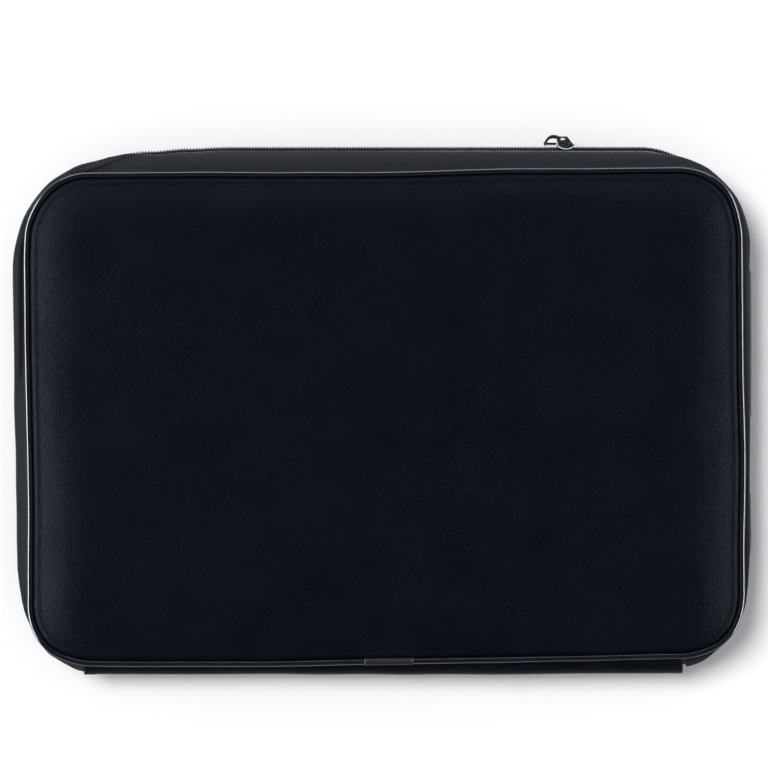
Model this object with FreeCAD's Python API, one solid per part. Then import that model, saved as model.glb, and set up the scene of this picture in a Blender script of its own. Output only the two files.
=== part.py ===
import FreeCAD, Part

import math
import os

# A padded laptop sleeve, lying on its back panel. Two crowned rounded-rectangle panels, each edged with
# piping, are joined along the bottom by a padded gusset and round the other three sides by a zip.
# Millimetres. X runs along the sleeve, +Y to the zip's top run, +Z out of the front panel. The origin is
# the middle of the back panel's flat resting face.

# --- driving dimensions ---------------------------------------------------------------------------------
PIPING_HALF_X = 192.3        # half length and half height of the piping's centre line
PIPING_HALF_Y = 131.4
PIPING_CORNER_R = 40.5
BACK_PIPING_Z = 5.5
FRONT_PIPING_Z = 25.5
BACK_CROWN = 5.5             # how far each panel's middle stands out of its piping's plane
FRONT_CROWN = 6.5
SHOULDER = 32.0              # the crown is reached this far in from the piping
SHOULDER_RINGS = (4.0, 8.0, 13.0, 19.0, 25.0, SHOULDER)    # insets where the shoulder's curve is given
SHOULDER_POWER = 2.2         # how steeply a panel rises beside its piping

PIPING_R = 1.6               # outside of the piping cover
PIPING_CORD_R = 1.15
PIPING_BORE_R = 1.2
WRAP_GAP = 0.03
WRAP_OPENING = 0.9           # the wrap stays open up to this far above the flange
WRAP_R = 1.78                # the second layer where the cover's ends meet
WRAP_LENGTH = 26.0
CLOTH = 0.8                  # outer cloth
LAYER_GAP = 0.15
FOAM_BASE = 1.1              # underside of the foam, from the piping's plane outwards
FOAM_INSET = 7.0
LINING_BASE = 0.5
LINING_TOP = 1.0
LINING_INSET = 5.6
PANEL_INSET = 1.75           # edge of the outer cloth, from the piping's centre line
FLANGE_REACH = 8.4           # how far the piping's flange runs into the seam
FLANGE_TOP = -0.3
FLANGE_FOOT = -0.75
PANEL_FOOT = -0.1            # edge of the outer cloth, from the piping's plane outwards
CUT_MARGIN = 1.0             # a cutting shape runs past the cut by this much
BINDING_OUTER = 3.6          # the binding's two edges, from the piping's centre line
BINDING_INNER = 9.2
BINDING_TOP = 0.4
BINDING_FOOT = -2.2
BINDING_CLOTH = 0.4

TAPE = 0.5                   # thickness of the zip tapes
TAPE_SEAM_DROP = 1.45        # the tape's level in the seam, below the piping's plane
SEAM_EDGE = -8.2             # tape and gusset in the seam: their edge ...
SEAM_TURN = -1.9             # ... and where they turn down under the piping
SEAM_EXIT = (0.6, 2.5)       # where tape and gusset come out under the piping: outwards, and below its plane
COIL_HALF_HEIGHT = 1.25
COIL_WIDTH = 2.7             # one row of the coil
TAPE_TO_COIL = 0.05
TAPE_SHOULDER = 4.4          # the tape turns down this far above the coil's lower edge
TAPE_HIGHEST = -3.0          # but no higher than this, from the piping's plane
TAPE_EDGE = 0.3              # and ends this far above that edge
CORD_HALF = 0.5              # filler cord inside the coil
CORD_GAP = 0.1
CORD_FOOT = 0.15             # from the coil's foot to the cord
COIL_TOP_Y = 144.6           # the coil's centre line is a rounded rectangle outside the piping's
COIL_LEFT_X = -200.2
COIL_RIGHT_X = 197.7
COIL_BOTTOM_Y = -133.8
COIL_TOP_R = 60.0
COIL_BOTTOM_R = 50.0
LIP_CLOSED = 1.2             # between the two rows, room for the slider's neck
LIP_OPEN = 7.6               # at the top left corner, where the zip is undone
LIP_START_X = -86.0          # the rows part from here ...
LIP_FULL_X = -140.0          # ... to here
LIP_LEFT_HALF_Y = 60.0       # and close again down the left side between these heights
LEFT_SEAM_DEG = 14.0         # where the zip meets the gusset, round each bottom corner
RIGHT_SEAM_DEG = 11.7
SEAM_GAP_DEG = 0.5

GUSSET_EDGE_Y = -139.7       # the gusset's straight lower edge
GUSSET_CLOTH = 0.5
GUSSET_FOAM = 3.0
GUSSET_LINING = 0.5
GUSSET_SPREAD_DEG = 90       # each layer runs this far round the half ellipse, both ways
GUSSET_FOAM_SPREAD_DEG = 72
GUSSET_LINING_SPREAD_DEG = 68

SLIDER_X = 98.2
SLIDER_HALF_X = 4.6
SLIDER_HALF_Z = 4.4
SLIDER_INNER_Z = 3.6
SLIDER_CORNER_R = 1.4
UPPER_PLATE = (1.45, 2.35)    # the plates' faces, from the chain's centre line outwards
LOWER_PLATE = (-2.95, -2.05)
NECK_X = (-4.2, -1.0)
NECK_HALF_Z = 0.3
SIDE_SETBACK = 0.6           # crescent sides: ends, middle and root, from the chain's centre line outwards
SIDE_ENDS = 1.0
SIDE_MIDDLE = -0.4
SIDE_ROOT = 1.6
CROWN_HALF_Z = 1.9
CROWN_FOOT = UPPER_PLATE[1]
CROWN_OUTLINE = [(-4.1, CROWN_FOOT), (4.2, CROWN_FOOT), (0.6, 6.8), (-4.9, 6.8), (-5.1, 6.3)]
CROWN_WINDOW = [(-4.5, 4.8), (-0.4, 4.8), (-0.6, 6.1), (-4.55, 6.1)]
CAVITY_X = (-3.2, 2.4)
CAVITY_TOP = 4.1
CAVITY_HALF_Z = 1.1
SPRING_X = (-3.0, 2.2)
SPRING_LEVEL = (3.3, 3.6)
SPRING_HALF_Z = 0.8
SPRING_HEEL = 0.4            # length of the turned-down heel
SPRING_LIFT = 0.05
PAWL_X = (0.5, 1.1)
PAWL_HALF_Z = 0.35
PAWL_HOLE_GAP = (0.2, 0.25)  # round the pawl, along the chain and across it
PAWL_LIFT = 0.1
LINK_WIRE_R = 0.55
LINK_HALF_Z = 3.0
LINK_PIVOT = (-3.4, 5.45)    # from the slider's centre: along the chain, then outwards
LINK_ARCH = (-7.3, 6.75)
TAB_PIVOT = (-10.9, 3.1)
TAB_BARREL_R = 1.05
TAB_BORE_R = 0.62
TAB_REACH = 5.7
TAB_HALF_Z = 2.3
TAB_HALF_THICKNESS = 0.5
TAB_DROP = 0.3               # the blade's middle, below its barrel's

# --- derived --------------------------------------------------------------------------------------------
CHAIN_Z = (BACK_PIPING_Z + FRONT_PIPING_Z) / 2
CHAIN_DROP = (FRONT_PIPING_Z - BACK_PIPING_Z) / 2
RUN_HALF_X = PIPING_HALF_X - PIPING_CORNER_R
RUN_HALF_Y = PIPING_HALF_Y - PIPING_CORNER_R
Z_AXIS = FreeCAD.Vector(0, 0, 1)
MM_TOLERANCE = 0.1


def vec(x, y, z=0.0):
    return FreeCAD.Vector(x, y, z)


def save(name, shape):
    """Write one sub-part and say what it is, so a broken solid shows at once."""
    solids = len(shape.Solids)
    print(f"{name}: {solids} solid, valid {shape.isValid()}, {shape.Volume:.0f} mm3, {len(shape.Faces)} faces")
    shape.exportStep(f"parts/{name}.step")


class Side:
    """One panel. Heights are given from its piping's plane, outwards, away from the pocket."""

    def __init__(self, name, piping_z, out, crown):
        self.name = name
        self.piping_z = piping_z
        self.out = out
        self.crown = crown

    def z(self, height):
        return self.piping_z + self.out * height

    def surface(self, inset):
        """Height of the outer cloth's outer face, this far in from the piping."""
        across = min(inset / SHOULDER, 1.0)
        return self.crown * (1 - (1 - across) ** SHOULDER_POWER)


FRONT = Side("front", FRONT_PIPING_Z, 1, FRONT_CROWN)
BACK = Side("back", BACK_PIPING_Z, -1, BACK_CROWN)


# --- panels ---------------------------------------------------------------------------------------------
def outline(inset, z):
    """Rounded rectangle, this far inside the piping's centre line."""
    hx = PIPING_HALF_X - inset
    hy = PIPING_HALF_Y - inset
    radius = PIPING_CORNER_R - inset
    edges = []
    for quarter, (sx, sy) in enumerate([(1, 1), (-1, 1), (-1, -1), (1, -1)]):
        centre = vec(sx * (hx - radius), sy * (hy - radius), z)
        at = [math.radians(90 * quarter + step) for step in (0, 45, 90)]
        points = [centre + vec(radius * math.cos(a), radius * math.sin(a)) for a in at]
        if edges:
            edges.append(Part.LineSegment(last, points[0]).toShape())
        else:
            first = points[0]
        edges.append(Part.Arc(*points).toShape())
        last = points[2]
    edges.append(Part.LineSegment(last, first).toShape())
    return Part.Wire(edges)


def dome(side, levels):
    """Closed solid through rounded rectangles at (inset, height) levels."""
    return Part.makeLoft([outline(inset, side.z(height)) for inset, height in levels], True, True)


def insets_from(start):
    """Insets that describe a panel from this one to its crown."""
    return [start] + [inset for inset in SHOULDER_RINGS if inset > start + 1]


def outer_panel(side):
    """Crowned cloth shell, open towards the pocket, turned down to the piping's flange."""
    outside = [(PANEL_INSET, PANEL_FOOT)]
    outside += [(inset, side.surface(inset)) for inset in insets_from(PANEL_INSET)]
    inner_edge = PANEL_INSET + CLOTH
    inside = [(inner_edge, PANEL_FOOT - CUT_MARGIN)]
    inside += [(inset, side.surface(inset) - CLOTH) for inset in insets_from(inner_edge)]
    return dome(side, outside).cut(dome(side, inside))


def foam_board(side):
    under_cloth = CLOTH + LAYER_GAP
    levels = [(FOAM_INSET, FOAM_BASE)]
    levels += [(inset, side.surface(inset) - under_cloth) for inset in insets_from(FOAM_INSET)]
    return dome(side, levels)


def lining(side):
    return dome(side, [(LINING_INSET, LINING_BASE), (LINING_INSET, LINING_TOP)])


# --- rings that run right round a panel -----------------------------------------------------------------
def ring(section):
    """Sweep a section that stands at the foot of the right-hand edge right round the piping's path."""
    corner = [(1, 1), (-1, 1), (-1, -1), (1, -1)]
    runs = [vec(0, 2 * RUN_HALF_Y), vec(-2 * RUN_HALF_X, 0), vec(0, -2 * RUN_HALF_Y), vec(2 * RUN_HALF_X, 0)]
    pieces = []
    for (sx, sy), run in zip(corner, runs):
        centre = vec(sx * RUN_HALF_X, sy * RUN_HALF_Y)
        pieces.append(section.extrude(run))
        section = section.translated(run)
        pieces.append(section.revolve(centre, Z_AXIS, 90))
        section = section.rotated(centre, Z_AXIS, 90)
    return pieces[0].multiFuse(pieces[1:]).removeSplitter()


def section_point(side, out, height):
    return vec(PIPING_HALF_X + out, -RUN_HALF_Y, side.z(height))


def disc(side, radius):
    """Round section about the piping's centre line."""
    circle = Part.makeCircle(radius, section_point(side, 0, 0), vec(0, 1, 0))
    return Part.Face(Part.Wire([circle]))


def polygon(points):
    return Part.Wire(Part.makePolygon(points + points[:1]))


def patch(side, corners):
    """Section with these (out, height) corners."""
    return Part.Face(polygon([section_point(side, out, height) for out, height in corners]))


def piping_cord(side):
    return ring(disc(side, PIPING_CORD_R))


def piping_cover(side):
    """Cloth tube with its two layers running into the seam as one flange."""
    flange = patch(
        side,
        [
            (-FLANGE_REACH, FLANGE_FOOT),
            (-FLANGE_REACH, FLANGE_TOP),
            (-PIPING_BORE_R, FLANGE_TOP),
            (-PIPING_BORE_R, FLANGE_FOOT),
        ],
    )
    tube = ring(disc(side, PIPING_R)).cut(ring(disc(side, PIPING_BORE_R)))
    return tube.fuse(ring(flange)).removeSplitter()


def piping_wrap(side):
    """Extra layer round the cover at the middle of the bottom run, open where the flange comes out."""
    start = vec(-WRAP_LENGTH / 2, -PIPING_HALF_Y, side.piping_z)
    along = vec(1, 0, 0)
    tube = Part.makeCylinder(WRAP_R, WRAP_LENGTH, start, along)
    tube = tube.cut(Part.makeCylinder(PIPING_R + WRAP_GAP, WRAP_LENGTH, start, along))
    low, high = sorted([side.z(-WRAP_R), side.z(FLANGE_TOP + WRAP_OPENING)])
    corner = vec(start.x - CUT_MARGIN, -PIPING_HALF_Y, low)
    slot = Part.makeBox(WRAP_LENGTH + 2 * CUT_MARGIN, 2 * WRAP_R, high - low, corner)
    return tube.cut(slot)


def seam_binding(side):
    """Tape folded over the edges of the seam: a channel that opens towards the piping."""
    wall = BINDING_CLOTH
    return ring(
        patch(
            side,
            [
                (-BINDING_OUTER, BINDING_TOP),
                (-BINDING_INNER, BINDING_TOP),
                (-BINDING_INNER, BINDING_FOOT),
                (-BINDING_OUTER, BINDING_FOOT),
                (-BINDING_OUTER, BINDING_FOOT + wall),
                (-BINDING_INNER + wall, BINDING_FOOT + wall),
                (-BINDING_INNER + wall, BINDING_TOP - wall),
                (-BINDING_OUTER, BINDING_TOP - wall),
            ],
        )
    )


# --- bands that follow the piping and bulge out of it ---------------------------------------------------
class Station:
    """A place on the piping's path, seen from the front: a point and the direction out of the sleeve."""

    def __init__(self, x, y, angle):
        self.point = vec(x, y)
        self.normal = vec(math.cos(math.radians(angle)), math.sin(math.radians(angle)))

    def at(self, out, z):
        return self.point + self.normal * out + vec(0, 0, z)


def corner_stations(sx, sy, start, end, step=6.0):
    """Stations round one corner, between two directions in degrees."""
    count = max(1, math.ceil(abs(end - start) / step))
    stations = []
    for i in range(count + 1):
        angle = start + (end - start) * i / count
        x = sx * RUN_HALF_X + PIPING_CORNER_R * math.cos(math.radians(angle))
        y = sy * RUN_HALF_Y + PIPING_CORNER_R * math.sin(math.radians(angle))
        stations.append(Station(x, y, angle))
    return stations


def steps(start, end, step=9.0):
    """Even steps of about this length after start, up to and including end."""
    count = math.ceil(abs(end - start) / step)
    return [start + (end - start) * i / count for i in range(1, count + 1)]


def top_stations():
    """Stations inside the top run: close together where the zip is open and where the coil turns down."""
    turn_x = COIL_RIGHT_X - COIL_TOP_R
    xs = steps(-RUN_HALF_X, LIP_START_X) + [turn_x] + steps(turn_x, RUN_HALF_X)[:-1]
    return [Station(x, PIPING_HALF_Y, 90) for x in xs]


def left_stations():
    return [Station(-PIPING_HALF_X, y, 180) for y in steps(-RUN_HALF_Y, RUN_HALF_Y)[:-1]]


def right_stations():
    """Stations inside the right-hand run, where the coil's straight stretch starts and ends."""
    ys = [COIL_TOP_Y - COIL_TOP_R, COIL_BOTTOM_Y + COIL_BOTTOM_R]
    return [Station(PIPING_HALF_X, y, 0) for y in ys]


def zip_stations():
    """The zip's path, from the gusset's left end up, over the top and down to its right end."""
    start = -90 - LEFT_SEAM_DEG - SEAM_GAP_DEG
    end = -90 + RIGHT_SEAM_DEG + SEAM_GAP_DEG
    path = corner_stations(-1, -1, start, -180)
    path += left_stations()
    path += corner_stations(-1, 1, 180, 90)
    path += top_stations()
    path += corner_stations(1, 1, 90, 0)
    path += right_stations()
    path += corner_stations(1, -1, 0, end)
    return path


def gusset_stations():
    path = corner_stations(-1, -1, -90 - LEFT_SEAM_DEG, -90)
    path += corner_stations(1, -1, -90, -90 + RIGHT_SEAM_DEG)
    return path


def ease(t):
    t = min(max(t, 0.0), 1.0)
    return t * t * (3 - 2 * t)


def outside_coil(point):
    """Distance from the coil's centre line, negative inside it."""
    radius = COIL_TOP_R if point.y > 0 else COIL_BOTTOM_R
    middle_x = (COIL_LEFT_X + COIL_RIGHT_X) / 2
    middle_y = (COIL_BOTTOM_Y + COIL_TOP_Y) / 2
    dx = abs(point.x - middle_x) - (COIL_RIGHT_X - COIL_LEFT_X) / 2 + radius
    dy = abs(point.y - middle_y) - (COIL_TOP_Y - COIL_BOTTOM_Y) / 2 + radius
    return math.hypot(max(dx, 0), max(dy, 0)) + min(max(dx, dy), 0) - radius


def bulge(station):
    """How far the coil's centre line stands out of the piping's here."""
    near, far = 0.0, 30.0
    for _ in range(40):
        middle = (near + far) / 2
        if outside_coil(station.at(middle, 0)) < 0:
            near = middle
        else:
            far = middle
    return near


def lip(station):
    """Half the opening between the two rows of the coil."""
    p = station.point
    top = ease((LIP_START_X - p.x) / (LIP_START_X - LIP_FULL_X))
    side = ease((p.y + LIP_LEFT_HALF_Y) / (2 * LIP_LEFT_HALF_Y))
    return (LIP_CLOSED + (LIP_OPEN - LIP_CLOSED) * top * side) / 2


def strip(line, thickness):
    """Closed polygon round an open line of (out, height) points, mitred at the corners."""
    left = []
    right = []
    for i, (a, b) in enumerate(line):
        before = line[max(i - 1, 0)]
        after = line[min(i + 1, len(line) - 1)]
        directions = []
        for start, end in ((before, (a, b)), ((a, b), after)):
            length = math.hypot(end[0] - start[0], end[1] - start[1])
            if length > 0:
                directions.append(((end[0] - start[0]) / length, (end[1] - start[1]) / length))
        dx = sum(d[0] for d in directions)
        dy = sum(d[1] for d in directions)
        length = math.hypot(dx, dy)
        normal = (-dy / length, dx / length)
        mitre = normal[0] * -directions[0][1] + normal[1] * directions[0][0]
        shift = thickness / 2 / mitre
        left.append((a + normal[0] * shift, b + normal[1] * shift))
        right.append((a - normal[0] * shift, b - normal[1] * shift))
    return left + right[::-1]


def band(stations, section, z_of):
    """Loft one closed polygon through the stations. section(station) gives its (out, height) corners."""
    wires = []
    for station in stations:
        wires.append(polygon([station.at(out, z_of(height)) for out, height in section(station)]))
    return Part.makeLoft(wires, True, True)


def tape_section(station):
    """From the seam, out under the piping and round to the foot of the coil."""
    out = bulge(station) - COIL_HALF_HEIGHT - TAPE / 2 - TAPE_TO_COIL
    edge = -CHAIN_DROP + lip(station)
    line = [
        (SEAM_EDGE, -TAPE_SEAM_DROP),
        (SEAM_TURN, -TAPE_SEAM_DROP),
        (SEAM_EXIT[0], -SEAM_EXIT[1]),
        (out, min(edge + TAPE_SHOULDER, TAPE_HIGHEST)),
        (out, edge + TAPE_EDGE),
    ]
    return strip(line, TAPE)


def coil_section(station):
    """One row of the coil: a channel that opens towards the tape and holds the filler cord."""
    foot = bulge(station) - COIL_HALF_HEIGHT
    head = bulge(station) + COIL_HALF_HEIGHT
    low = -CHAIN_DROP + lip(station)
    high = low + COIL_WIDTH
    middle = (low + high) / 2
    half = CORD_HALF + CORD_GAP
    roof = foot + 2 * (CORD_HALF + CORD_FOOT)
    return [
        (foot, low),
        (head, low),
        (head, high),
        (foot, high),
        (foot, middle + half),
        (roof, middle + half),
        (roof, middle - half),
        (foot, middle - half),
    ]


def filler_section(station):
    """Octagon of the filler cord, at the foot of the coil."""
    centre = bulge(station) - COIL_HALF_HEIGHT + CORD_FOOT + CORD_HALF
    middle = -CHAIN_DROP + lip(station) + COIL_WIDTH / 2
    corners = [math.radians(45 * (i + 0.5)) for i in range(8)]
    return [(centre + CORD_HALF * math.cos(a), middle + CORD_HALF * math.sin(a)) for a in corners]


# --- bottom gusset --------------------------------------------------------------------------------------
def gusset_arc(station, depth, spread, count=10):
    """The gusset's half ellipse across the sleeve, set this far inside its outer face."""
    reach = (station.point.y - GUSSET_EDGE_Y) / -station.normal.y - SEAM_EXIT[0]
    half = CHAIN_DROP - SEAM_EXIT[1] + GUSSET_CLOTH / 2
    angles = [math.radians(spread * (2 * i / count - 1)) for i in range(count + 1)]
    return [
        (SEAM_EXIT[0] + (reach - depth) * math.cos(a), CHAIN_Z + (half - depth) * math.sin(a))
        for a in angles
    ]


def gusset_outer_section(station):
    seam_z = BACK.z(-TAPE_SEAM_DROP)
    seam = [(SEAM_EDGE, seam_z), (SEAM_TURN, seam_z)]
    return strip(seam + gusset_arc(station, GUSSET_CLOTH / 2, GUSSET_SPREAD_DEG), GUSSET_CLOTH)


def gusset_layer(station, depth, thickness, spread):
    return gusset_arc(station, depth, spread) + gusset_arc(station, depth + thickness, spread)[::-1]


def gusset_foam_section(station):
    return gusset_layer(station, GUSSET_CLOTH + LAYER_GAP, GUSSET_FOAM, GUSSET_FOAM_SPREAD_DEG)


def gusset_lining_section(station):
    depth = GUSSET_CLOTH + 2 * LAYER_GAP + GUSSET_FOAM
    return gusset_layer(station, depth, GUSSET_LINING, GUSSET_LINING_SPREAD_DEG)


# --- slider ---------------------------------------------------------------------------------------------
def slider_point(along, out, across=0.0):
    """A point on the slider: along the chain, outwards from it, and across it towards the front panel."""
    return vec(SLIDER_X + along, COIL_TOP_Y + out, CHAIN_Z + across)


def slab(along, out, across):
    low = slider_point(along[0], out[0], across[0])
    return Part.makeBox(along[1] - along[0], out[1] - out[0], across[1] - across[0], low)


def prism(corners, half_width):
    """Polygon seen from the front, as wide as this across the chain."""
    face = Part.Face(polygon([slider_point(a, o, -half_width) for a, o in corners]))
    return face.extrude(vec(0, 0, 2 * half_width))


def plate(out):
    """One of the slider's two plates, its corners rounded."""
    block = slab((-SLIDER_HALF_X, SLIDER_HALF_X), out, (-SLIDER_HALF_Z, SLIDER_HALF_Z))
    upright = [edge for edge in block.Edges if abs(edge.Vertexes[0].Y - edge.Vertexes[1].Y) > MM_TOLERANCE]
    return block.makeFillet(SLIDER_CORNER_R, upright)


def crescent(low):
    """Closes the slider's side down to just above the tape."""
    reach = SLIDER_HALF_X - SIDE_SETBACK
    ends = [slider_point(along, SIDE_ENDS, low) for along in (-reach, reach)]
    top = [slider_point(along, SIDE_ROOT, low) for along in (-reach, reach)]
    edges = [
        Part.LineSegment(top[0], ends[0]).toShape(),
        Part.Arc(ends[0], slider_point(0, SIDE_MIDDLE, low), ends[1]).toShape(),
        Part.LineSegment(ends[1], top[1]).toShape(),
        Part.LineSegment(top[1], top[0]).toShape(),
    ]
    return Part.Face(Part.Wire(edges)).extrude(vec(0, 0, SLIDER_HALF_Z - SLIDER_INNER_Z))


def slider_body():
    body = plate(UPPER_PLATE).fuse(plate(LOWER_PLATE))
    body = body.fuse(crescent(SLIDER_INNER_Z)).fuse(crescent(-SLIDER_HALF_Z))
    neck = slab(NECK_X, (LOWER_PLATE[1], UPPER_PLATE[0]), (-NECK_HALF_Z, NECK_HALF_Z))
    gap_x, gap_z = PAWL_HOLE_GAP
    pawl_hole = slab(
        (PAWL_X[0] - gap_x, PAWL_X[1] + gap_x),
        (UPPER_PLATE[0] - CUT_MARGIN, UPPER_PLATE[1] + CUT_MARGIN),
        (-PAWL_HALF_Z - gap_z, PAWL_HALF_Z + gap_z),
    )
    return body.fuse(neck).removeSplitter().cut(pawl_hole)


def slider_crown():
    """Solid crown with the link's window right through it and the lock spring's cavity below."""
    body = prism(CROWN_OUTLINE, CROWN_HALF_Z)
    window = prism(CROWN_WINDOW, CROWN_HALF_Z + CUT_MARGIN)
    cavity = slab(CAVITY_X, (CROWN_FOOT - CUT_MARGIN, CAVITY_TOP), (-CAVITY_HALF_Z, CAVITY_HALF_Z))
    return body.cut(window).cut(cavity)


def slider_lock_spring():
    """Leaf in the crown, with a pawl that reaches down between the rows."""
    width = (-SPRING_HALF_Z, SPRING_HALF_Z)
    leaf = slab(SPRING_X, SPRING_LEVEL, width)
    heel_x = (SPRING_X[0], SPRING_X[0] + SPRING_HEEL)
    heel = slab(heel_x, (UPPER_PLATE[1] + SPRING_LIFT, SPRING_LEVEL[0]), width)
    pawl = slab(PAWL_X, (UPPER_PLATE[0] + PAWL_LIFT, SPRING_LEVEL[0]), (-PAWL_HALF_Z, PAWL_HALF_Z))
    return leaf.fuse(heel).fuse(pawl).removeSplitter()


def wire_bar(pivot):
    start = slider_point(pivot[0], pivot[1], -LINK_HALF_Z)
    return Part.makeCylinder(LINK_WIRE_R, 2 * LINK_HALF_Z, start, Z_AXIS)


def pull_link():
    """Closed wire loop: a bar in the crown's window, two arched legs and a bar in the tab's barrel."""
    shape = wire_bar(LINK_PIVOT).fuse(wire_bar(TAB_PIVOT))
    for z in (-LINK_HALF_Z, LINK_HALF_Z):
        arc = Part.Arc(slider_point(*LINK_PIVOT, z), slider_point(*LINK_ARCH, z), slider_point(*TAB_PIVOT, z))
        start, end = arc.FirstParameter, arc.LastParameter
        circle = Part.makeCircle(LINK_WIRE_R, arc.value(start), FreeCAD.Vector(*arc.tangent(start)[0]))
        leg = Part.Wire([arc.toShape()]).makePipeShell([Part.Wire([circle])], True, True)
        shape = shape.fuse(leg)
        for place in (start, end):
            shape = shape.fuse(Part.makeSphere(LINK_WIRE_R, arc.value(place)))
    return shape.removeSplitter()


def pull_tab():
    """Small flat tab with a barrel round the link's far bar, folded back under the link."""
    start = slider_point(*TAB_PIVOT, -TAB_HALF_Z)
    x, y = TAB_PIVOT
    blade = slab(
        (x, x + TAB_REACH),
        (y - TAB_DROP - TAB_HALF_THICKNESS, y - TAB_DROP + TAB_HALF_THICKNESS),
        (-TAB_HALF_Z, TAB_HALF_Z),
    )
    barrel = Part.makeCylinder(TAB_BARREL_R, 2 * TAB_HALF_Z, start, Z_AXIS)
    bore = Part.makeCylinder(TAB_BORE_R, 2 * TAB_HALF_Z, start, Z_AXIS)
    return blade.fuse(barrel).removeSplitter().cut(bore)


# --- the assembly ---------------------------------------------------------------------------------------
os.makedirs("parts", exist_ok=True)

for panel in (BACK, FRONT):
    save(f"{panel.name}_outer_panel", outer_panel(panel))
    save(f"{panel.name}_foam", foam_board(panel))
    save(f"{panel.name}_lining", lining(panel))
    save(f"{panel.name}_piping_cord", piping_cord(panel))
    save(f"{panel.name}_piping_cover", piping_cover(panel))
    save(f"{panel.name}_piping_wrap", piping_wrap(panel))
    save(f"{panel.name}_seam_binding", seam_binding(panel))
    zip_path = zip_stations()
    save(f"{panel.name}_zip_tape", band(zip_path, tape_section, panel.z))
    save(f"{panel.name}_zip_coil", band(zip_path, coil_section, panel.z))
    save(f"{panel.name}_zip_cord", band(zip_path, filler_section, panel.z))

for part_name, part_section in (
    ("bottom_gusset_outer", gusset_outer_section),
    ("bottom_gusset_foam", gusset_foam_section),
    ("bottom_gusset_lining", gusset_lining_section),
):
    save(part_name, band(gusset_stations(), part_section, float))

save("slider_body", slider_body())
save("slider_crown", slider_crown())
save("slider_lock_spring", slider_lock_spring())
save("pull_link", pull_link())
save("pull_tab", pull_tab())
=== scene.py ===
import math

import bmesh
import bpy
import numpy as np
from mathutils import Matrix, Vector


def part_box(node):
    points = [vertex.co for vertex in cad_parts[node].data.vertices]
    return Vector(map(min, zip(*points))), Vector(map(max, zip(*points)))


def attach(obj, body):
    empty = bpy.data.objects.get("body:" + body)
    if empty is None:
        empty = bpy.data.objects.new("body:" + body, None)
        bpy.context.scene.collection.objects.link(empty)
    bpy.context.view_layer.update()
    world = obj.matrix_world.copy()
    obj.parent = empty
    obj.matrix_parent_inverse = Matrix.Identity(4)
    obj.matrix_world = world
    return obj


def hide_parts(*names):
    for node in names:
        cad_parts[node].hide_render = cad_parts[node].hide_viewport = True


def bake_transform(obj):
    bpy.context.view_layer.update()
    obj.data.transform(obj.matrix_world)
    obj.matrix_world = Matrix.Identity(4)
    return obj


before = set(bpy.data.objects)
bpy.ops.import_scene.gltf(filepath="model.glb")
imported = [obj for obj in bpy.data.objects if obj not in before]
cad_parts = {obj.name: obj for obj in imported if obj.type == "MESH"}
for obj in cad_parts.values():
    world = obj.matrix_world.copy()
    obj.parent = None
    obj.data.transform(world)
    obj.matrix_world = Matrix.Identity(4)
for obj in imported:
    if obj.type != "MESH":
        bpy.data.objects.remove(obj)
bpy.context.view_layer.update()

# Shapes are worked out in millimetres, in the frame's axes: X along the sleeve, +Y to the zip's top run,
# +Z out of the front panel. Meshes are made in metres.
MM = 0.001


def node_box(node):
    """A CAD node's lowest and highest corners, in millimetres."""
    low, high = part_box(node)
    return np.array(low) / MM, np.array(high) / MM


# --- sizes read from the frame ----------------------------------------------------------------------------
CORD_LOW, CORD_HIGH = node_box("front_piping_cord")
CORD_R = (CORD_HIGH[2] - CORD_LOW[2]) / 2
HALF_X = (CORD_HIGH[0] - CORD_LOW[0]) / 2 - CORD_R
HALF_Y = (CORD_HIGH[1] - CORD_LOW[1]) / 2 - CORD_R
FRONT_Z = (CORD_HIGH[2] + CORD_LOW[2]) / 2
BACK_Z = sum(box[2] for box in node_box("back_piping_cord")) / 2
FRONT_CROWN = node_box("front_outer_panel")[1][2] - FRONT_Z
BACK_CROWN = BACK_Z - node_box("back_outer_panel")[0][2]
CHAIN_Z = (FRONT_Z + BACK_Z) / 2
COIL_LOW, COIL_HIGH = node_box("front_zip_coil")
GUSSET_LOW, _ = node_box("bottom_gusset_outer")
SLIDER_LOW, SLIDER_HIGH = node_box("slider_body")
SLIDER_X = (SLIDER_LOW[0] + SLIDER_HIGH[0]) / 2

# --- sizes of the cloth and the zip -----------------------------------------------------------------------
CORNER_R = 34.0              # of the piping's centre line
PIPING_R = 1.68
WRAP_R = 2.05
WRAP_START, WRAP_END = -12.3, 14.2
SHOULDER = 32.0              # a panel's crown is reached this far in from its piping
CLOTH = 0.8
LAYER_GAP = 0.15
CLOTH_INSET = 1.45           # each layer's edge, in from the piping's centre line
FOAM_INSET = 7.0
LINING_INSET = 5.2
LINING_LEVEL = 1.0           # the lining's face on the foam, from the piping's plane
LINING = 0.5
COIL_HALF = 1.25             # half the coil's height
COIL_TOP_R = 60.0            # corner radii of the coil's centre line
COIL_BOTTOM_R = 44.0
COIL_WIDTH = 2.7
COIL_PITCH = 1.6
STRAND_R = 0.37
TAPE = 0.45
SEAM_LEVEL = -1.45           # tape and gusset in the seam, from the piping's plane
SEAM_REACH = 8.0
EXIT_OUT, EXIT_LEVEL = 0.6, -2.4
GROOVE = 2.2                 # the tape dips this much deeper beside the piping
LEFT_SEAM_DEG = 6.5          # where the zip's ends go under the gusset, round the bottom corners
RIGHT_SEAM_DEG = 4.5
LIP_START_X, LIP_FULL_X = -86.0, -140.0
LIP_LEFT_HALF_Y = 60.0
LIP_SMALL, LIP_WIDE = 0.6, 2.6
COIL_LEAST = 1.0             # the coil is never closer to the rim than this
GUSSET_CLOTH = 0.6
CLOTH_DEPTH = GUSSET_CLOTH / 2 + 0.2
GUSSET_HEM = 4.5

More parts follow.
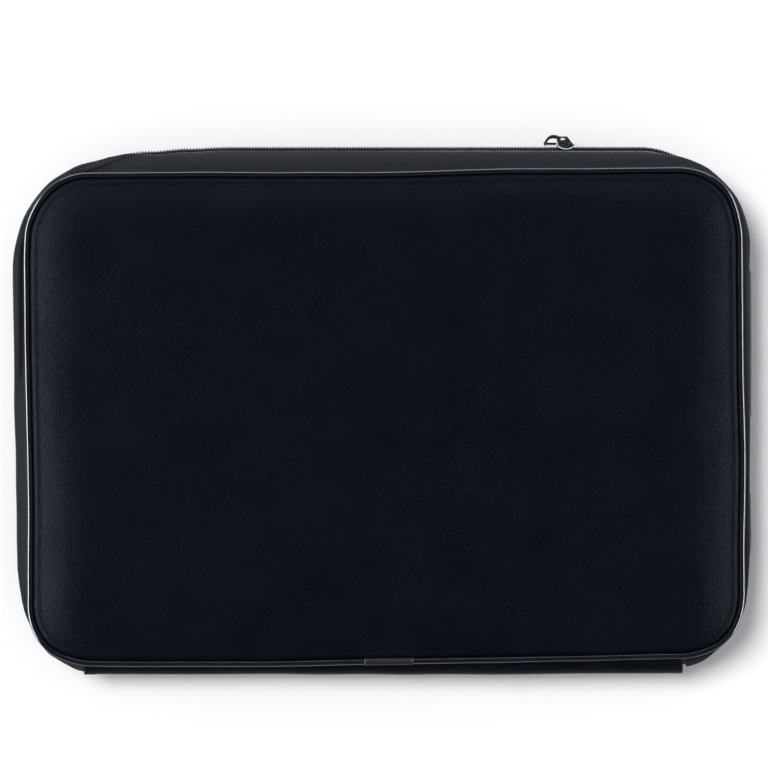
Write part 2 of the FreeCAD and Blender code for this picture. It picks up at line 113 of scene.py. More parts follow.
RUN_X = HALF_X - CORNER_R
RUN_Y = HALF_Y - CORNER_R
QUARTER = CORNER_R * math.pi / 2
KNOTS = np.cumsum([0, RUN_X, QUARTER, 2 * RUN_Y, QUARTER, 2 * RUN_X, QUARTER, 2 * RUN_Y, QUARTER, RUN_X])
LOOP = KNOTS[-1]
COIL_LEFT, COIL_RIGHT = COIL_LOW[0] + COIL_HALF, COIL_HIGH[0] - COIL_HALF
COIL_TOP = COIL_HIGH[1] - COIL_HALF
COIL_BOTTOM = COIL_LOW[1] + COIL_HALF
ZIP_START = RUN_X + CORNER_R * math.radians(RIGHT_SEAM_DEG)
ZIP_END = LOOP - RUN_X - CORNER_R * math.radians(LEFT_SEAM_DEG)


# --- the path round the sleeve ----------------------------------------------------------------------------
def loop(t):
    """Points and outward directions on the piping's path, t mm anticlockwise from the bottom's middle."""
    t = np.mod(t, LOOP)
    k = KNOTS
    cx = np.interp(t, k[[0, 1, 4, 5, 8, 9]], [0, RUN_X, RUN_X, -RUN_X, -RUN_X, 0])
    cy = np.interp(t, k[[2, 3, 6, 7]], [-RUN_Y, RUN_Y, RUN_Y, -RUN_Y])
    angle = np.radians(np.interp(t, k[1:9], [-90, 0, 0, 90, 90, 180, 180, 270]))
    normal = np.stack([np.cos(angle), np.sin(angle)], -1)
    return np.stack([cx, cy], -1) + CORNER_R * normal, normal


def periodic(t, knots):
    """Smooth curve through (place, value) knots that closes on itself."""
    places = np.array([place for place, _ in knots])
    values = np.array([value for _, value in knots])
    places = np.concatenate([places[-2:] - LOOP, places, places[:2] + LOOP])
    values = np.concatenate([values[-2:], values, values[:2]])
    t = np.mod(t, LOOP)
    i = np.clip(np.searchsorted(places, t, side="right") - 1, 0, len(places) - 2)
    share = (t - places[i]) / (places[i + 1] - places[i])
    share = share * share * (3 - 2 * share)
    return values[i] + (values[i + 1] - values[i]) * share


class Side:
    """One half of the sleeve: where its piping lies, and how its panel stands out of the piping's plane."""

    def __init__(self, name, body, piping_z, out, crown, turn, waves, sag=0.0):
        self.name = name
        self.body = body
        self.piping_z = piping_z
        self.out = out
        self.crown = crown
        self.turn = turn
        self.waves = waves
        self.sag = sag

    def rim(self, t):
        """The piping's centre line as the soft sleeve lies: points, outward directions and heights."""
        point, normal = loop(t)
        point = point + normal * periodic(t, self.waves)[..., None]
        c, s = math.cos(self.turn), math.sin(self.turn)
        spin = np.array([[c, s], [-s, c]])
        return point @ spin, normal @ spin, self.piping_z + self.lift(t)

    def lift(self, t):
        """How far the rim strays from its plane."""
        turns = 2 * math.pi * t / LOOP
        return 0.35 * np.sin(3 * turns + self.out) + 0.2 * np.sin(7 * turns)

    def place(self, t, out, height):
        """Points this far outwards and away from the pocket, from the rim at t. Arrays broadcast."""
        point, normal, z = self.rim(t)
        flat = point + normal * np.asarray(out)[..., None]
        return np.concatenate([flat, (z + self.out * np.asarray(height))[..., None]], -1)

    def surface(self, inset):
        """Height of the panel's cloth this far in from the piping."""
        across = np.clip(inset / SHOULDER, 0, 1)
        seam = 0.6 * np.exp(-(((inset - 3.8) / 1.5) ** 2))
        return self.crown * (1 - (1 - across) ** 2.2) + seam - 1.5 * np.exp(-((inset - 1.2) / 0.8))


# Places are millimetres round the loop; values are how far the seam strays outwards.
FRONT_WAVES = [
    (0, 0.9), (50, 0.6), (100, 0.2), (150, -0.4), (165, -0.5), (186, 0.4), (208, -0.7), (228, -0.7),
    (285, 0.5), (335, -0.2), (403, -0.2), (413, -0.9), (433, 0.4), (458, -0.3), (506, -0.4), (546, -0.1),
    (618, -1.3), (668, -0.9), (718, -0.3), (781, -0.2), (812, -1.3), (843, -0.1), (875, -0.1), (971, -1.0),
    (1020, -0.4), (1052, 1.7), (1070, 0.5), (1110, 1.1), (1174, 1.6),
]
BACK_WAVES = [
    (0, 0.2), (150, -0.3), (300, 0.4), (450, -0.3), (600, 0.4), (760, -0.2), (900, 0.3), (1080, -0.3),
]
FRONT = Side("front", "front_cover", FRONT_Z, 1, FRONT_CROWN, 0.0095, FRONT_WAVES)
BACK = Side("back", "back_half", BACK_Z, -1, BACK_CROWN, 0.0, BACK_WAVES, sag=0.42)


# How far the coil's line strays outwards from its design line.
COIL_WAVES = [
    (0, 0.0), (150, 0.0), (163, 3.2), (184, 1.0), (202, -1.2), (214, -2.2), (246, -1.2), (278, -1.5),
    (330, -1.3), (390, -1.8), (408, -0.1), (426, 0.9), (443, 0.5), (456, -1.0), (475, 0.0), (702, 0.0),
    (724, -0.9), (744, -2.5), (772, -6.0), (785, -4.4), (800, -3.0), (824, -1.8), (846, -0.4), (913, -1.0),
    (963, -2.0), (1006, -2.5), (1022, -3.8), (1038, -2.0), (1056, 1.8), (1074, 4.2), (1090, 0.0),
]


def outside_coil(x, y):
    """Distance from the coil's centre line, negative inside it."""
    radius = np.where(y > 0, COIL_TOP_R, COIL_BOTTOM_R)
    dx = np.abs(x - (COIL_LEFT + COIL_RIGHT) / 2) - (COIL_RIGHT - COIL_LEFT) / 2 + radius
    dy = np.abs(y - (COIL_BOTTOM + COIL_TOP) / 2) - (COIL_TOP - COIL_BOTTOM) / 2 + radius
    return np.hypot(np.maximum(dx, 0), np.maximum(dy, 0)) + np.minimum(np.maximum(dx, dy), 0) - radius


def bulge(side, t):
    """How far the coil's centre line stands out of the rim."""
    point, normal, _ = side.rim(t)
    near, far = np.zeros(len(t)), np.full(len(t), 30.0)
    for _ in range(30):
        middle = (near + far) / 2
        at = point + normal * middle[:, None]
        inside = outside_coil(at[:, 0], at[:, 1]) < 0
        near, far = np.where(inside, middle, near), np.where(inside, far, middle)
    return np.maximum(near + periodic(t, COIL_WAVES), COIL_LEAST)


def ease(x):
    x = np.clip(x, 0, 1)
    return x * x * (3 - 2 * x)


# Where the tape swells out past the coil: 1 where it does, 0 along the top.
SWELL = [(0, 1), (452, 1), (474, 0), (734, 0), (758, 1), (KNOTS[8], 1)]
# How far the coil lies off the middle of that swell: tucked in under the tape, or peeping out past it.
COIL_SHIFT = [
    (0, -1.6), (226, -1.6), (234, 1.5), (264, 1.2), (270, -1.6), (300, -1.6), (308, 1.5), (385, 1.9),
    (390, -1.6), (436, -1.6), (452, 0.0), (758, 0.0), (776, -1.6), (KNOTS[8], -1.6),
]


def coil_out(side, t):
    """How far the coil's middle stands out of the rim."""
    return bulge(side, t) + periodic(t, COIL_SHIFT)


def lip(t):
    """Half the opening between the rows: none where the zip is closed, wide at the top left corner."""
    point, _ = loop(t)
    x, y = point[..., 0], point[..., 1]
    top = ease((LIP_START_X - x) / (LIP_START_X - LIP_FULL_X))
    side = ease((y + LIP_LEFT_HALF_Y) / (2 * LIP_LEFT_HALF_Y))
    opened = LIP_SMALL + (LIP_WIDE - LIP_SMALL) * top * side
    closed = (t < KNOTS[4] + RUN_X - SLIDER_X) & (t > 0)
    return np.where(closed, -0.3, opened)


# --- meshes -----------------------------------------------------------------------------------------------
def new_object(name, mesh):
    obj = bpy.data.objects.new(name, mesh)
    bpy.context.scene.collection.objects.link(obj)
    return obj


def lattice(name, points, uv=None, close_rows=False, close_columns=False, cap=False, flip=False):
    """Mesh of quads over a grid of points, rows by columns, in millimetres."""
    rows, columns = points.shape[:2]
    r, c = np.meshgrid(
        np.arange(rows if close_rows else rows - 1),
        np.arange(columns if close_columns else columns - 1),
        indexing="ij",
    )
    r2, c2 = (r + 1) % rows, (c + 1) % columns
    corners = [(r, c), (r2, c), (r2, c2), (r, c2)]
    quads = np.stack([a * columns + b for a, b in corners], -1).reshape(-1, 4)
    faces = quads.tolist()
    if cap:
        faces.append(list(range(columns)))
        faces.append(list(range((rows - 1) * columns, rows * columns))[::-1])
    mesh = bpy.data.meshes.new(name)
    mesh.from_pydata((points.reshape(-1, 3) * MM).tolist(), [], faces)
    if uv is not None:
        layer = mesh.uv_layers.new(name="cut")
        values = np.zeros((len(mesh.loops), 2), np.float32)
        at = np.stack([uv[r, c], uv[r + 1, c], uv[r + 1, c + 1], uv[r, c + 1]], -2).reshape(-1, 2)
        values[: len(at)] = at * MM
        layer.data.foreach_set("uv", values.ravel())
    mesh.polygons.foreach_set("use_smooth", [True] * len(mesh.polygons))
    if flip:
        mesh.flip_normals()
    mesh.update()
    return new_object(name, mesh)


def face_outwards(obj):
    work = bmesh.new()
    work.from_mesh(obj.data)
    bmesh.ops.recalc_face_normals(work, faces=work.faces)
    work.to_mesh(obj.data)
    work.free()
    return obj


def finish_piece(obj, body, slot, material, *nodes):
    """Give a piece its material and its body, and hide the CAD nodes that it stands for. The slot is not used.
    """
    obj.data.materials.clear()
    obj.data.materials.append(material)
    if body:
        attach(obj, body)
    if nodes:
        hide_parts(*nodes)
    return obj


def thick(profile, thickness):
    """Closed profile round open (rows, columns, 2) lines, half the thickness to each side."""
    along = np.gradient(profile, axis=1)
    along /= np.linalg.norm(along, axis=-1, keepdims=True)
    across = np.stack([-along[..., 1], along[..., 0]], -1) * thickness / 2
    return np.concatenate([profile + across, (profile - across)[:, ::-1]], 1)


def band(name, side, t, profile, thickness, close_rows=False):
    """Strip of cloth along the rim: open (out, height) lines given a thickness. Its map is the flat cut."""
    closed = thick(profile, thickness)
    points = side.place(t[:, None] + 0 * closed[..., 0], closed[..., 0], closed[..., 1])
    steps = np.linalg.norm(np.diff(profile, axis=1), axis=-1)
    across = np.concatenate([np.zeros((len(t), 1)), np.cumsum(steps, 1)], 1)
    across = np.concatenate([across, across[:, ::-1], across[:, :1]], 1)
    u = t
    if close_rows:
        across = np.concatenate([across, across[:1]], 0)
        u = np.append(t, t[0] + LOOP)
    uv = np.stack([np.broadcast_to(u[:, None], across.shape), across], -1)
    obj = lattice(name, points, uv, close_rows, True, cap=not close_rows)
    return face_outwards(obj)


def tube(name, centre, normal, binormal, radius, sides=10, closed=False, along=None):
    """Round tube along a centre line, with the two directions across it given."""
    angle = np.linspace(0, 2 * math.pi, sides, endpoint=False)
    ring = np.cos(angle)[None, :, None] * normal[:, None] + np.sin(angle)[None, :, None] * binormal[:, None]
    points = centre[:, None] + ring * np.broadcast_to(radius, (len(centre),))[:, None, None]
    if along is None:
        along = np.concatenate([[0], np.cumsum(np.linalg.norm(np.diff(centre, axis=0), axis=1))])
    if closed:
        along = np.append(along, along[-1] + np.linalg.norm(centre[-1] - centre[0]))
    around = np.linspace(0, 2 * math.pi * np.mean(radius), sides + 1)
    uv = np.stack(np.meshgrid(along, around, indexing="ij"), -1)
    obj = lattice(name, points, uv, closed, True, cap=not closed)
    return face_outwards(obj)


# --- materials --------------------------------------------------------------------------------------------
class Paint:
    """A node material with one Principled shader and short helpers to build it."""

    def __init__(self, name, color, roughness, **sockets):
        self.material = bpy.data.materials.new(name)
        self.material.use_nodes = True
        self.tree = self.material.node_tree
        self.shader = self.tree.nodes["Principled BSDF"]
        self.set(self.shader, "Base Color", (*color, 1))
        self.set(self.shader, "Roughness", roughness)
        for key, value in sockets.items():
            self.set(self.shader, key.replace("_", " "), value)

    @staticmethod
    def set(node, socket, value):
        node.inputs[socket].default_value = value

    def node(self, kind, **inputs):
        made = self.tree.nodes.new("ShaderNode" + kind)
        for key, value in inputs.items():
            socket = made.inputs[int(key[1:])] if key[0] == "i" and key[1:].isdigit() else made.inputs[key]
            if hasattr(value, "is_linked"):
                self.tree.links.new(value, socket)
            else:
                socket.default_value = value
        return made

    def link(self, output, socket):
        self.tree.links.new(output, self.shader.inputs[socket])

    def math(self, operation, a, b=0.0):
        made = self.node("Math", i0=a, i1=b)
        made.operation = operation
        return made.outputs[0]

    def place(self, flat=False):
        """Where a point is: on the flat cut, or in the object."""
        return self.node("TexCoord").outputs["UV" if flat else "Object"]

    def noise(self, scale, detail=2.0, flat=False, rough=0.5):
        made = self.node("TexNoise", Vector=self.place(flat), Scale=scale, Detail=detail, Roughness=rough)
        return made.outputs["Fac"]

    def cells(self, scale, flat=False, feature="DISTANCE_TO_EDGE"):
        made = self.node("TexVoronoi", Vector=self.place(flat), Scale=scale)
        made.feature = feature
        return made.outputs["Distance"]

    def ramp(self, value, stops):
        made = self.node("ValToRGB", Fac=value)
        elements = made.color_ramp.elements
        while len(elements) < len(stops):
            elements.new(0.5)
        for element, (place, color) in zip(elements, stops):
            element.position = place
            element.color = (*color, 1) if len(color) == 3 else color
        return made.outputs["Color"]

    def color(self, value, low, high, start=0.3, end=0.7):
        self.link(self.ramp(value, [(start, low), (end, high)]), "Base Color")

    def bump(self, height, strength, distance):
        made = self.node("Bump", Height=height, Strength=strength, Distance=distance)
        self.link(made.outputs["Normal"], "Normal")


def grey(value):
    return (value, value, value)


def outer_cloth():
    """Smooth navy-black cloth with a very fine pebbled grain."""
    shine = {"Specular_IOR_Level": 0.035, "Sheen_Weight": 0.004, "Sheen_Roughness": 0.4}
    paint = Paint("outer_cloth", (0.004, 0.006, 0.011), 0.38, **shine)
    grain = paint.cells(850)
    fine = paint.noise(1300, 3)
    broad = paint.noise(38, 3)
    height = paint.math("ADD", paint.math("MINIMUM", grain, 0.25), paint.math("MULTIPLY", fine, 0.5))
    mottle = paint.math("ADD", paint.math("MULTIPLY", broad, 0.3), paint.math("MULTIPLY", fine, 0.7))
    paint.color(mottle, (0.0010, 0.0018, 0.0045), (0.0046, 0.0064, 0.0112), 0.35, 0.65)
    paint.bump(height, 0.8, 0.0005)
    return paint.material


def piping_cloth():
    paint = Paint("piping_cloth", (0.004, 0.0045, 0.006), 0.15, Specular_IOR_Level=0.6)
    fine = paint.noise(1800, 2)
    broad = paint.noise(160, 2)
    paint.bump(paint.math("ADD", fine, broad), 0.08, 0.0001)
    paint.color(broad, (0.002, 0.003, 0.006), (0.005, 0.007, 0.012))
    return paint.material


def wrap_cloth():
    """The piping's cloth where it laps over itself, its matt back outwards."""
    paint = Paint("wrap_cloth", (0.006, 0.007, 0.009), 0.55, Specular_IOR_Level=0.35)
    fine = paint.noise(1500, 3)
    paint.bump(fine, 0.4, 0.0002)
    paint.color(fine, (0.003, 0.004, 0.006), (0.010, 0.011, 0.013))
    return paint.material


def herringbone(paint, rib=0.0015, row=0.0038):
    """Height of a herringbone weave on the flat cut: slanted ribs that turn back at each row's edge."""
    place = paint.node("SeparateXYZ", Vector=paint.place(flat=True))
    along, across = place.outputs["X"], place.outputs["Y"]
    fold = paint.math("PINGPONG", paint.math("DIVIDE", across, row), 1.0)
    phase = paint.math("ADD", paint.math("DIVIDE", along, rib), paint.math("MULTIPLY", fold, row / rib))
    wave = paint.math("SINE", paint.math("MULTIPLY", phase, 2 * math.pi))
    return paint.math("ADD", paint.math("MULTIPLY", wave, 0.5), 0.5)


def zip_tape():
    shine = {"Specular_IOR_Level": 0.08, "Sheen_Weight": 0.5, "Sheen_Roughness": 0.3}
    paint = Paint("zip_tape", (0.02, 0.022, 0.026), 0.5, **shine)
    weave = herringbone(paint)
    threads = paint.noise(2400, 2, flat=True)
    height = paint.math("ADD", weave, paint.math("MULTIPLY", threads, 0.5))
    paint.color(height, (0.0006, 0.0008, 0.0014), (0.042, 0.045, 0.057), 0.5, 1.05)
    paint.bump(height, 0.8, 0.0004)
    return paint.material


def coil_nylon():
    paint = Paint("coil_nylon", (0.008, 0.009, 0.012), 0.3, Specular_IOR_Level=0.5)
    scuffs = paint.noise(900, 2)
    paint.color(scuffs, (0.004, 0.005, 0.007), (0.012, 0.013, 0.017))
    paint.link(paint.ramp(scuffs, [(0.35, grey(0.2)), (0.7, grey(0.4))]), "Roughness")
    paint.bump(scuffs, 0.1, 0.00005)
    return paint.material


def lining_cloth():
    """Plain-woven lining."""
    paint = Paint("lining_cloth", (0.03, 0.031, 0.034), 0.6, Sheen_Weight=0.15)
    place = paint.node("SeparateXYZ", Vector=paint.place())
    waves = [
        paint.math("SINE", paint.math("MULTIPLY", place.outputs[axis], 2 * math.pi / 0.0007))
        for axis in ("X", "Y")
    ]
    weave = paint.math("MULTIPLY", *waves)
    broad = paint.noise(60, 3)
    height = paint.math("ADD", weave, paint.math("MULTIPLY", broad, 2.0))
    paint.color(height, (0.018, 0.019, 0.022), (0.040, 0.041, 0.045), 0.2, 1.6)
    paint.bump(weave, 0.3, 0.00015)
    return paint.material


def binding_tape():
    """Ribbed grosgrain, its ribs across the tape."""
    paint = Paint("binding_tape", (0.014, 0.0145, 0.017), 0.55, Sheen_Weight=0.2)
    place = paint.node("SeparateXYZ", Vector=paint.place(flat=True))
    rib = paint.math("SINE", paint.math("MULTIPLY", place.outputs["X"], 2 * math.pi / 0.0008))
    tone = paint.math("ADD", rib, paint.noise(300, 2))
    paint.color(tone, (0.008, 0.0085, 0.010), (0.022, 0.023, 0.027), 0.1, 1.4)
    paint.bump(rib, 0.5, 0.0002)
    return paint.material


def foam():
    paint = Paint("foam", (0.30, 0.30, 0.31), 0.9)
    cells = paint.cells(1600)
    paint.color(cells, grey(0.22), grey(0.36), 0.0, 0.3)
    paint.bump(cells, 0.5, 0.0003)
    return paint.material


def cord_core():
    paint = Paint("cord_core", (0.3, 0.3, 0.3), 0.6)
    twist = paint.noise(900, 2)
    paint.color(twist, grey(0.22), grey(0.36))
    paint.bump(twist, 0.4, 0.0002)
    return paint.material


def sewing_thread():
    paint = Paint("sewing_thread", (0.006, 0.006, 0.007), 0.5, Specular_IOR_Level=0.3)
    twist = paint.noise(3500, 1)
    paint.color(twist, grey(0.003), grey(0.012))
    paint.bump(twist, 0.4, 0.00008)
    return paint.material


def gunmetal():
    paint = Paint("gunmetal", (0.11, 0.112, 0.12), 0.32, Metallic=1.0)
    mottle = paint.noise(900, 4)
    paint.color(mottle, grey(0.03), (0.20, 0.203, 0.21), 0.38, 0.68)
    paint.link(paint.ramp(mottle, [(0.3, grey(0.24)), (0.75, grey(0.5))]), "Roughness")
    paint.bump(mottle, 0.12, 0.0001)
    return paint.material


def painted_highlight_metal():
    """A painted highlight: a bright metal colour for the slider's rolled edges, standing for the shine along
    them.
    """
    paint = Paint("painted_highlight_metal", (0.7, 0.71, 0.73), 0.5, Metallic=1.0)
    highlight_mottle = paint.noise(1100, 3)
    # Painted highlight: the colour runs from mid grey to near white in a noise mottle.
    paint.color(highlight_mottle, grey(0.35), (0.85, 0.86, 0.88), 0.3, 0.5)
    paint.bump(highlight_mottle, 0.1, 0.00005)
    return paint.material


def black_metal():
    paint = Paint("black_metal", (0.012, 0.012, 0.013), 0.3, Metallic=0.6)
    mottle = paint.noise(1400, 3)
    paint.color(mottle, grey(0.008), grey(0.03))
    paint.bump(mottle, 0.1, 0.00006)
    return paint.material


def spring_steel():
    paint = Paint("spring_steel", (0.5, 0.5, 0.5), 0.35, Metallic=1.0)
    brushed = paint.noise(1800, 2)
    paint.color(brushed, grey(0.40), grey(0.58))
    paint.bump(brushed, 0.1, 0.00005)
    return paint.material


CLOTH_PAINT = outer_cloth()
PIPING_PAINT = piping_cloth()
WRAP_PAINT = wrap_cloth()
TAPE_PAINT = zip_tape()
COIL_PAINT = coil_nylon()
LINING_PAINT = lining_cloth()
BINDING_PAINT = binding_tape()
FOAM_PAINT = foam()
CORE_PAINT = cord_core()
THREAD_PAINT = sewing_thread()
GUNMETAL_PAINT = gunmetal()
PAINTED_HIGHLIGHT_PAINT = painted_highlight_metal()
BLACK_METAL_PAINT = black_metal()
SPRING_PAINT = spring_steel()


# --- panels -----------------------------------------------------------------------------------------------
def undulate(x, y):
    """Slow unevenness of the padding, in millimetres."""
    return (
        0.22 * np.sin(x / 47 + 1.3) * np.cos(y / 39 - 0.4)
        + 0.13 * np.sin(x / 21 - y / 33 + 2.1)
        + 0.07 * np.sin(x / 11 + y / 14)
    )


def paired_steps(spacing=2.4):
    """Places round the whole loop, with the same numbers of steps on opposite runs."""
    half_x, half_y, quarter = (round(length / spacing) for length in (RUN_X, RUN_Y, QUARTER))
    counts = [half_x, quarter, 2 * half_y, quarter, 2 * half_x, quarter, 2 * half_y, quarter, half_x]
    stretches = [
        np.linspace(start, end, count, endpoint=False)
        for start, end, count in zip(KNOTS[:-1], KNOTS[1:], counts)
    ]
    return np.concatenate(stretches)


def panel_rings(side, edge_inset, height, middle_steps=34):
    """Rings of points from a panel's edge to its middle. height(inset) is the layer's height."""
    t = paired_steps()
    insets = edge_inset + (SHOULDER - edge_inset) * np.linspace(0, 1, 26) ** 1.5
    stray = periodic(t, side.waves)
    rings = []
    for i in insets:
        rings.append(side.place(t, -i - stray * ease(i / SHOULDER), np.full(len(t), height(i))))
    last = rings[-1]
    spine_x = np.clip(loop(t)[0][:, 0], RUN_Y - RUN_X, RUN_X - RUN_Y)
    spine = np.stack([spine_x, 0 * t, last[:, 2].mean() + side.lift(t)], -1)
    for share in np.linspace(0, 1, middle_steps + 1)[1:]:
        rings.append(last + (spine - last) * share)
    points = np.array(rings)
    inward = np.concatenate([insets, np.full(middle_steps, SHOULDER)])
    points[..., 2] -= side.lift(t) * ease(inward / SHOULDER)[:, None]
    fade = ease((inward - edge_inset) / 20)[:, None]
    points[..., 2] += side.out * fade * (undulate(points[..., 0], points[..., 1]) - side.sag)
    pucker = np.exp(-(inward - edge_inset) / 3.0)[:, None] * 0.10
    points[..., 2] += side.out * pucker * np.sin(t * 2 * math.pi / 6.3 + 3 * np.sin(t / 37))[None]
    return points


def closed_layer(name, top, bottom):
    """Closed form between two stacks of rings that share their numbering."""
    points = np.concatenate([top[::-1], bottom], 0)
    obj = lattice(name, points, close_columns=True)
    work = bmesh.new()
    work.from_mesh(obj.data)
    bmesh.ops.remove_doubles(work, verts=work.verts, dist=1e-6)
    bmesh.ops.recalc_face_normals(work, faces=work.faces)
    work.to_mesh(obj.data)
    work.free()
    return obj


def cloth_under(side, inset):
    """Height of the cloth's underside, which meets its face at the seam."""
    return side.surface(inset) - CLOTH * ease((inset - 1.2) / 1.6)


def panel(side):
    """A panel's three layers: its cloth, its foam and its lining."""
    top = panel_rings(side, CLOTH_INSET, side.surface)
    under = panel_rings(side, CLOTH_INSET + 0.35, lambda i: cloth_under(side, i))
    cloth = closed_layer(f"{side.name}_panel_cloth", top, under)
    finish_piece(cloth, side.body, "outer_cloth", CLOTH_PAINT, f"{side.name}_outer_panel")

    top = panel_rings(side, FOAM_INSET, lambda i: side.surface(i) - CLOTH - LAYER_GAP)
    under = panel_rings(side, FOAM_INSET, lambda i: LINING_LEVEL + 0.1 + 0 * i)
    pad = closed_layer(f"{side.name}_foam_board", top, under)
    finish_piece(pad, side.body, "foam", FOAM_PAINT, f"{side.name}_foam")

    top = panel_rings(side, LINING_INSET, lambda i: LINING_LEVEL + 0 * i)
    under = panel_rings(side, LINING_INSET, lambda i: LINING_LEVEL - LINING + 0 * i)
    inner = closed_layer(f"{side.name}_lining_cloth", top, under)
    finish_piece(inner, side.body, "lining_cloth", LINING_PAINT, f"{side.name}_lining")


# --- piping and binding -----------------------------------------------------------------------------------
def rim_axes(side, t):
    """Centre, outward and upward directions of the rim, for tubes along it."""
    _, normal, _ = side.rim(t)
    outward = np.concatenate([normal, np.zeros((len(t), 1))], 1)
    upward = np.tile([0.0, 0.0, 1.0], (len(t), 1))
    return side.place(t, np.zeros(len(t)), np.zeros(len(t))), outward, upward


def piping(side):
    t = np.linspace(0, LOOP, 1200, endpoint=False)
    centre, outward, upward = rim_axes(side, t)
    lumps = 0.03 * np.sin(t / 5.1 + 2 * np.sin(t / 29))
    cover = tube(f"{side.name}_piping_tube", centre, outward, upward, PIPING_R + lumps, 16, closed=True)
    finish_piece(cover, side.body, "piping_cloth", PIPING_PAINT, f"{side.name}_piping_cover")
    core = tube(f"{side.name}_piping_core", centre, outward, upward, CORD_R, 8, closed=True)
    finish_piece(core, side.body, "core_cord", CORE_PAINT, f"{side.name}_piping_cord")

    t = np.linspace(WRAP_START, WRAP_END, 90)
    centre, outward, upward = rim_axes(side, t)
    ends = np.minimum(t - WRAP_START, WRAP_END - t)
    least = PIPING_R - 0.1
    hems = 0.12 * np.exp(-(((ends - 0.8) / 0.5) ** 2))
    radius = least + (WRAP_R - least) * ease(ends / 0.5) + hems
    wrap = tube(f"{side.name}_piping_joint", centre, outward, upward, radius, 16)
    finish_piece(wrap, side.body, "piping_cloth", WRAP_PAINT, f"{side.name}_piping_wrap")


def binding(side):
    """Tape folded over the seam's raw edges."""
    t = np.linspace(0, LOOP, 700, endpoint=False)
    wander = 0.25 * np.sin(t / 41) + 0.12 * np.sin(t / 13)
    fold = [
        (-3.6, 0.2), (-6.0, 0.3), (-8.4, 0.15), (-9.0, -0.4),
        (-9.05, -1.0), (-8.7, -1.75), (-6.2, -2.05), (-3.7, -1.95),
    ]
    profile = np.array(fold)[None] + np.stack([wander, 0 * wander], -1)[:, None]
    obj = band(f"{side.name}_binding_tape", side, t, profile, 0.35, close_rows=True)
    finish_piece(obj, side.body, "binding_tape", BINDING_PAINT, f"{side.name}_seam_binding")


def stitch_row(name, side, out, height, length=2.7, gap=0.8, radius=0.17):
    """Row of stitches right round the seam. Each is a short thread that dips in at its ends."""
    count = int(LOOP / (length + gap))
    share = np.linspace(0, 1, 5)
    t = np.arange(count)[:, None] * LOOP / count + length * share
    arch = np.sin(math.pi * share) ** 0.5
    centre = side.place(t, np.full(t.shape, out), height + 0.3 * (arch - 1) + 0 * t)
    _, normal, _ = side.rim(t)
    normal = np.concatenate([normal, np.zeros((*t.shape, 1))], -1)[:, :, None]
    angle = np.linspace(0, 2 * math.pi, 6, endpoint=False)[:, None]
    ring = np.cos(angle) * normal + np.sin(angle) * np.array([0.0, 0.0, 1.0])
    points = centre[:, :, None] + radius * (0.3 + 0.7 * arch)[:, None, None] * ring
    row, column = np.meshgrid(np.arange(4), np.arange(6), indexing="ij")
    after = (column + 1) % 6
    one = np.stack([row * 6 + column, (row + 1) * 6 + column, (row + 1) * 6 + after, row * 6 + after], -1)
    faces = (one.reshape(1, -1, 4) + 30 * np.arange(count)[:, None, None]).reshape(-1, 4).tolist()
    for first in range(0, 30 * count, 30):
        faces.append(list(range(first, first + 6)))
        faces.append(list(range(first + 29, first + 23, -1)))
    mesh = bpy.data.meshes.new(name)
    mesh.from_pydata((points.reshape(-1, 3) * MM).tolist(), [], faces)
    mesh.polygons.foreach_set("use_smooth", [True] * len(mesh.polygons))
    thread = face_outwards(new_object(name, mesh))
    finish_piece(thread, side.body, "binding_tape", THREAD_PAINT)


# --- zip --------------------------------------------------------------------------------------------------
def tape_profile(side, t):
    """(out, height) lines from the seam, out under the piping and round to the coil's middle."""
    _, _, z = side.rim(t)
    chain = -np.abs(z - CHAIN_Z)
    out = coil_out(side, t) - COIL_HALF - TAPE / 2 - 0.05
    widest = bulge(side, t) + COIL_HALF - TAPE / 2
    swelled = widest + np.sqrt(np.maximum(widest - EXIT_OUT, 0) * np.maximum(widest - out, 0))
    swell = periodic(t, SWELL)
    knee_out = (1 - swell) * (EXIT_OUT + 0.8 * (out - EXIT_OUT)) + swell * swelled
    edge = chain + np.maximum(lip(t), 0.3)
    turn = np.minimum(edge + 4.2, EXIT_LEVEL - 0.6)
    lines = []
    for seam_out, drop in ((-SEAM_REACH, 0), (-5.0, 0), (-1.9, 0), (-0.6, 0.45)):
        lines.append(np.stack([np.full(len(t), seam_out), np.full(len(t), SEAM_LEVEL - drop)], -1))
    start = np.stack([np.full(len(t), EXIT_OUT), np.full(len(t), EXIT_LEVEL - GROOVE)], -1)
    end = np.stack([out, turn], -1)
    knee = np.stack([knee_out, EXIT_LEVEL + 0.12 * (turn - EXIT_LEVEL)], -1)
    for share in np.linspace(0, 1, 9):
        lines.append(start * (1 - share) ** 2 + 2 * knee * share * (1 - share) + end * share**2)
    for share in (0.35, 0.7, 1.0):
        lines.append(np.stack([out, turn + (edge + 0.3 - turn) * share], -1))
    return np.stack(lines, 1)


def zip_tape_piece(side):
    t = np.linspace(ZIP_START, ZIP_END, 560)
    profile = tape_profile(side, t)
    ripple = 0.12 * np.sin(t / 7.5 + 2 * np.sin(t / 31))
    profile[:, 5:12, 0] += ripple[:, None] * np.sin(np.linspace(0, math.pi, 7))[None]
    obj = band(f"{side.name}_tape_cloth", side, t, profile, TAPE)
    finish_piece(obj, None, "zip_tape", TAPE_PAINT, f"{side.name}_zip_tape")
    return obj


